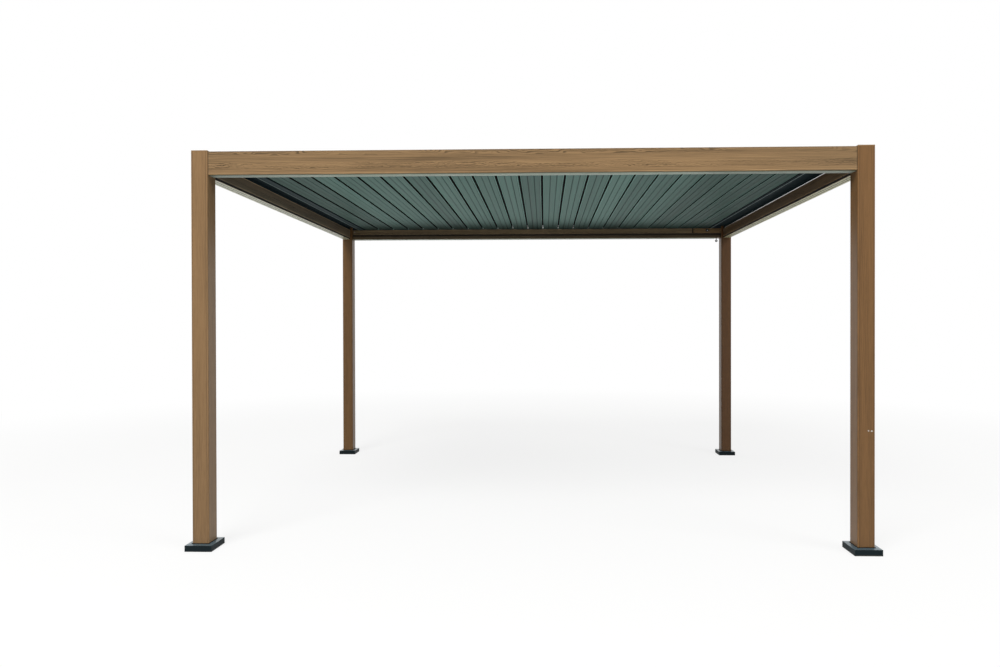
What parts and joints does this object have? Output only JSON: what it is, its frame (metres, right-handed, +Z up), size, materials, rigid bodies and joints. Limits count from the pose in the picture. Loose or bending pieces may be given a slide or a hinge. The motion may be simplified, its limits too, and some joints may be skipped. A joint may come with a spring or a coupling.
{
  "type": "metal gazebo",
  "caption": "Wood-grain metal gazebo: square posts on dark base covers carry a ring of gutter beams and a flat roof of linked louvre blades turned by a crank.",
  "frame": {"origin": "centre of the footprint at floor level", "axes": "+X right along the width as seen from the front, +Y towards the back, +Z up"},
  "size_m": [4.06, 3.06, 2.368],
  "materials": {
    "wood_finish": "satin",
    "slate_finish": "satin",
    "blade_finish": "satin",
    "zinc_steel": "satin",
    "black_casting": "satin",
    "black_steel": "satin"
  },
  "bodies": {
    "frame": {"post_front_left": "wood_finish", "post_front_right": "wood_finish", "post_back_left": "wood_finish", "post_back_right": "wood_finish", "post_caps": "wood_finish", "base_covers": "slate_finish", "foot_plates": "zinc_steel", "front_beam": "wood_finish", "back_beam": "wood_finish", "left_beam": "wood_finish", "right_beam": "wood_finish", "front_pivot_rail": "slate_finish", "back_pivot_rail": "slate_finish", "left_edge_strip": "slate_finish", "right_edge_strip": "slate_finish", "gearbox": "black_casting", "access_cover": "wood_finish"},
    "blade_01": {"blade_01": "blade_finish"},
    "blade_02": {"blade_02": "blade_finish"},
    "blade_03": {"blade_03": "blade_finish"},
    "blade_04": {"blade_04": "blade_finish"},
    "blade_05": {"blade_05": "blade_finish"},
    "blade_06": {"blade_06": "blade_finish"},
    "blade_07": {"blade_07": "blade_finish"},
    "blade_08": {"blade_08": "blade_finish"},
    "blade_09": {"blade_09": "blade_finish"},
    "blade_10": {"blade_10": "blade_finish"},
    "blade_11": {"blade_11": "blade_finish"},
    "blade_12": {"blade_12": "blade_finish"},
    "blade_13": {"blade_13": "blade_finish"},
    "blade_14": {"blade_14": "blade_finish"},
    "blade_15": {"blade_15": "blade_finish"},
    "blade_16": {"blade_16": "blade_finish"},
    "blade_17": {"blade_17": "blade_finish"},
    "blade_18": {"blade_18": "blade_finish"},
    "blade_19": {"blade_19": "blade_finish"},
    "blade_20": {"blade_20": "blade_finish"},
    "blade_21": {"blade_21": "blade_finish"},
    "blade_22": {"blade_22": "blade_finish"},
    "blade_23": {"blade_23": "blade_finish"},
    "link_bar": {"link_bar": "zinc_steel"},
    "drive_arm": {"drive_arm": "zinc_steel"},
    "crank_eye": {"crank_eye": "black_steel"}
  },
  "joints": [
    {"name": "blade_01_turn", "type": "hinge", "parent": "frame", "child": "blade_01", "pos_m": [-1.694, 0, 2.338], "axis": [0, -1, 0], "range_deg": [0, 90]},
    {"name": "blade_02_turn", "type": "hinge", "parent": "frame", "child": "blade_02", "pos_m": [-1.54, 0, 2.338], "axis": [0, -1, 0], "range_deg": [0, 90]},
    {"name": "blade_03_turn", "type": "hinge", "parent": "frame", "child": "blade_03", "pos_m": [-1.386, 0, 2.338], "axis": [0, -1, 0], "range_deg": [0, 90]},
    {"name": "blade_04_turn", "type": "hinge", "parent": "frame", "child": "blade_04", "pos_m": [-1.232, 0, 2.338], "axis": [0, -1, 0], "range_deg": [0, 90]},
    {"name": "blade_05_turn", "type": "hinge", "parent": "frame", "child": "blade_05", "pos_m": [-1.078, 0, 2.338], "axis": [0, -1, 0], "range_deg": [0, 90]},
    {"name": "blade_06_turn", "type": "hinge", "parent": "frame", "child": "blade_06", "pos_m": [-0.924, 0, 2.338], "axis": [0, -1, 0], "range_deg": [0, 90]},
    {"name": "blade_07_turn", "type": "hinge", "parent": "frame", "child": "blade_07", "pos_m": [-0.77, 0, 2.338], "axis": [0, -1, 0], "range_deg": [0, 90]},
    {"name": "blade_08_turn", "type": "hinge", "parent": "frame", "child": "blade_08", "pos_m": [-0.616, 0, 2.338], "axis": [0, -1, 0], "range_deg": [0, 90]},
    {"name": "blade_09_turn", "type": "hinge", "parent": "frame", "child": "blade_09", "pos_m": [-0.462, 0, 2.338], "axis": [0, -1, 0], "range_deg": [0, 90]},
    {"name": "blade_10_turn", "type": "hinge", "parent": "frame", "child": "blade_10", "pos_m": [-0.308, 0, 2.338], "axis": [0, -1, 0], "range_deg": [0, 90]},
    {"name": "blade_11_turn", "type": "hinge", "parent": "frame", "child": "blade_11", "pos_m": [-0.154, 0, 2.338], "axis": [0, -1, 0], "range_deg": [0, 90]},
    {"name": "blade_12_turn", "type": "hinge", "parent": "frame", "child": "blade_12", "pos_m": [0, 0, 2.338], "axis": [0, -1, 0], "range_deg": [0, 90]},
    {"name": "blade_13_turn", "type": "hinge", "parent": "frame", "child": "blade_13", "pos_m": [0.154, 0, 2.338], "axis": [0, -1, 0], "range_deg": [0, 90]},
    {"name": "blade_14_turn", "type": "hinge", "parent": "frame", "child": "blade_14", "pos_m": [0.308, 0, 2.338], "axis": [0, -1, 0], "range_deg": [0, 90]},
    {"name": "blade_15_turn", "type": "hinge", "parent": "frame", "child": "blade_15", "pos_m": [0.462, 0, 2.338], "axis": [0, -1, 0], "range_deg": [0, 90]},
    {"name": "blade_16_turn", "type": "hinge", "parent": "frame", "child": "blade_16", "pos_m": [0.616, 0, 2.338], "axis": [0, -1, 0], "range_deg": [0, 90]},
    {"name": "blade_17_turn", "type": "hinge", "parent": "frame", "child": "blade_17", "pos_m": [0.77, 0, 2.338], "axis": [0, -1, 0], "range_deg": [0, 90]},
    {"name": "blade_18_turn", "type": "hinge", "parent": "frame", "child": "blade_18", "pos_m": [0.924, 0, 2.338], "axis": [0, -1, 0], "range_deg": [0, 90]},
    {"name": "blade_19_turn", "type": "hinge", "parent": "frame", "child": "blade_19", "pos_m": [1.078, 0, 2.338], "axis": [0, -1, 0], "range_deg": [0, 90]},
    {"name": "blade_20_turn", "type": "hinge", "parent": "frame", "child": "blade_20", "pos_m": [1.232, 0, 2.338], "axis": [0, -1, 0], "range_deg": [0, 90]},
    {"name": "blade_21_turn", "type": "hinge", "parent": "frame", "child": "blade_21", "pos_m": [1.386, 0, 2.338], "axis": [0, -1, 0], "range_deg": [0, 90]},
    {"name": "blade_22_turn", "type": "hinge", "parent": "frame", "child": "blade_22", "pos_m": [1.54, 0, 2.338], "axis": [0, -1, 0], "range_deg": [0, 90]},
    {"name": "blade_23_turn", "type": "hinge", "parent": "frame", "child": "blade_23", "pos_m": [1.694, 0, 2.338], "axis": [0, -1, 0], "range_deg": [0, 90]},
    {"name": "link_bar_swing", "type": "hinge", "parent": "blade_12", "child": "link_bar", "pos_m": [-0.02828, 1.4475, 2.30972], "axis": [0, -1, 0], "range_deg": [-90, 0]},
    {"name": "drive_arm_turn", "type": "hinge", "parent": "frame", "child": "drive_arm", "pos_m": [1.848, 1.4365, 2.338], "axis": [0, -1, 0], "range_deg": [0, 90]},
    {"name": "crank_eye_turn", "type": "hinge", "parent": "frame", "child": "crank_eye", "pos_m": [1.867, 1.472, 2.224], "axis": [0, 0, 1], "range_deg": [0, 1800]}
  ],
  "couplings": [
    {"joint": "blade_01_turn", "follows": "blade_12_turn", "ratio": 1},
    {"joint": "blade_02_turn", "follows": "blade_12_turn", "ratio": 1},
    {"joint": "blade_03_turn", "follows": "blade_12_turn", "ratio": 1},
    {"joint": "blade_04_turn", "follows": "blade_12_turn", "ratio": 1},
    {"joint": "blade_05_turn", "follows": "blade_12_turn", "ratio": 1},
    {"joint": "blade_06_turn", "follows": "blade_12_turn", "ratio": 1},
    {"joint": "blade_07_turn", "follows": "blade_12_turn", "ratio": 1},
    {"joint": "blade_08_turn", "follows": "blade_12_turn", "ratio": 1},
    {"joint": "blade_09_turn", "follows": "blade_12_turn", "ratio": 1},
    {"joint": "blade_10_turn", "follows": "blade_12_turn", "ratio": 1},
    {"joint": "blade_11_turn", "follows": "blade_12_turn", "ratio": 1},
    {"joint": "blade_13_turn", "follows": "blade_12_turn", "ratio": 1},
    {"joint": "blade_14_turn", "follows": "blade_12_turn", "ratio": 1},
    {"joint": "blade_15_turn", "follows": "blade_12_turn", "ratio": 1},
    {"joint": "blade_16_turn", "follows": "blade_12_turn", "ratio": 1},
    {"joint": "blade_17_turn", "follows": "blade_12_turn", "ratio": 1},
    {"joint": "blade_18_turn", "follows": "blade_12_turn", "ratio": 1},
    {"joint": "blade_19_turn", "follows": "blade_12_turn", "ratio": 1},
    {"joint": "blade_20_turn", "follows": "blade_12_turn", "ratio": 1},
    {"joint": "blade_21_turn", "follows": "blade_12_turn", "ratio": 1},
    {"joint": "blade_22_turn", "follows": "blade_12_turn", "ratio": 1},
    {"joint": "blade_23_turn", "follows": "blade_12_turn", "ratio": 1},
    {"joint": "link_bar_swing", "follows": "blade_12_turn", "ratio": -1},
    {"joint": "drive_arm_turn", "follows": "blade_12_turn", "ratio": 1},
    {"joint": "crank_eye_turn", "follows": "blade_12_turn", "ratio": 20}
  ]
}
